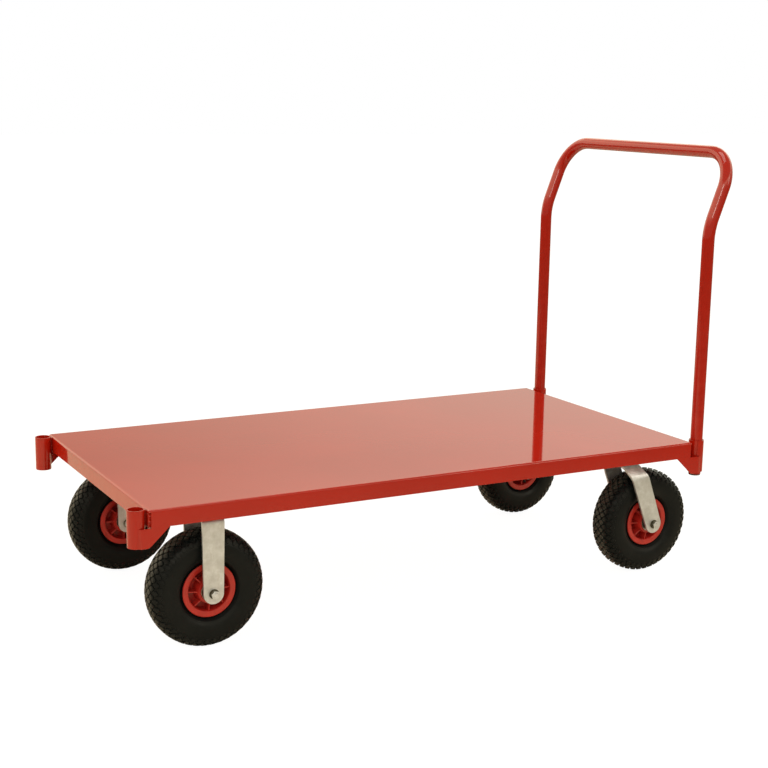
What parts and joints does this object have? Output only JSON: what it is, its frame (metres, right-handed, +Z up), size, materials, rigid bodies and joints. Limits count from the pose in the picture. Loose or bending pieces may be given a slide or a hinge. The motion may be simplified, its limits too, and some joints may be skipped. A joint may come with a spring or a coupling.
{
  "type": "platform trolley",
  "caption": "Flat platform trolley with a folded steel deck, pneumatic tyres, fixed front and swivel rear casters, and a lift-out tubular push handle.",
  "frame": {"origin": "on the floor under the centre of the trolley's overall box", "axes": "+X along the length towards the rear end, where the push handle stands; +Y to the right-hand side of the person who pushes; +Z up"},
  "size_m": [1.553, 0.735, 1.054],
  "materials": {
    "red_paint": "glossy red powder coat",
    "red_plastic": "semi-gloss moulded red plastic",
    "tyre": "matt black block-tread tyre",
    "tube_rubber": "smooth black rubber",
    "zinc": "dull zinc plating",
    "bearing_steel": "ground bearing steel",
    "black_plastic": "matt black moulded plastic"
  },
  "bodies": {
    "frame": {"deck_plate": "red_paint", "corner_socket_front_left": "red_paint", "corner_socket_front_right": "red_paint", "corner_socket_rear_left": "red_paint", "corner_socket_rear_right": "red_paint", "handle_clamp_screw_left": "zinc", "handle_clamp_screw_right": "zinc", "cross_channel_front": "red_paint", "cross_channel_rear": "red_paint", "deck_stiffener_1": "red_paint", "deck_stiffener_2": "red_paint", "caster_plate_front_left": "zinc", "fork_front_left": "zinc", "axle_sleeve_front_left": "zinc", "axle_bolt_front_left": "zinc", "axle_nut_front_left": "zinc", "caster_plate_rear_left": "zinc", "ball_race_rear_left": "zinc", "kingpin_rear_left": "zinc", "caster_plate_front_right": "zinc", "fork_front_right": "zinc", "axle_sleeve_front_right": "zinc", "axle_bolt_front_right": "zinc", "axle_nut_front_right": "zinc", "caster_plate_rear_right": "zinc", "ball_race_rear_right": "zinc", "kingpin_rear_right": "zinc"},
    "handle": {"push_handle": "red_paint", "handle_plug_left": "black_plastic", "handle_plug_right": "black_plastic"},
    "swivel_left": {"fork_rear_left": "zinc", "axle_sleeve_rear_left": "zinc", "axle_bolt_rear_left": "zinc", "axle_nut_rear_left": "zinc"},
    "swivel_right": {"fork_rear_right": "zinc", "axle_sleeve_rear_right": "zinc", "axle_bolt_rear_right": "zinc", "axle_nut_rear_right": "zinc"},
    "wheel_front_left": {"tyre_front_left": "tyre", "inner_tube_front_left": "tube_rubber", "rim_front_left": "red_plastic", "bearing_outer_front_left": "bearing_steel", "bearing_inner_front_left": "bearing_steel"},
    "wheel_front_right": {"tyre_front_right": "tyre", "inner_tube_front_right": "tube_rubber", "rim_front_right": "red_plastic", "bearing_outer_front_right": "bearing_steel", "bearing_inner_front_right": "bearing_steel"},
    "wheel_rear_left": {"tyre_rear_left": "tyre", "inner_tube_rear_left": "tube_rubber", "rim_rear_left": "red_plastic", "bearing_outer_rear_left": "bearing_steel", "bearing_inner_rear_left": "bearing_steel"},
    "wheel_rear_right": {"tyre_rear_right": "tyre", "inner_tube_rear_right": "tube_rubber", "rim_rear_right": "red_plastic", "bearing_outer_rear_right": "bearing_steel", "bearing_inner_rear_right": "bearing_steel"}
  },
  "joints": [
    {"name": "handle_lift", "type": "slide", "parent": "frame", "child": "handle", "axis": [0, 0, 1], "range_m": [0, 0.075]},
    {"name": "wheel_spin_front_left", "type": "hinge", "parent": "frame", "child": "wheel_front_left", "pos_m": [-0.58758, -0.283, 0.13], "axis": [0, 1, 0], "continuous": true},
    {"name": "caster_swivel_left", "type": "hinge", "parent": "frame", "child": "swivel_left", "pos_m": [0.51042, -0.278, 0.2861], "axis": [0, 0, 1], "continuous": true},
    {"name": "wheel_spin_rear_left", "type": "hinge", "parent": "swivel_left", "child": "wheel_rear_left", "pos_m": [0.58037, -0.27556, 0.13], "axis": [-0.0349, 0.9994, 0], "continuous": true},
    {"name": "wheel_spin_front_right", "type": "hinge", "parent": "frame", "child": "wheel_front_right", "pos_m": [-0.58758, 0.283, 0.13], "axis": [0, 1, 0], "continuous": true},
    {"name": "caster_swivel_right", "type": "hinge", "parent": "frame", "child": "swivel_right", "pos_m": [0.51042, 0.278, 0.2861], "axis": [0, 0, 1], "continuous": true},
    {"name": "wheel_spin_rear_right", "type": "hinge", "parent": "swivel_right", "child": "wheel_rear_right", "pos_m": [0.58015, 0.2841, 0.13], "axis": [-0.0872, 0.9962, 0], "continuous": true}
  ]
}
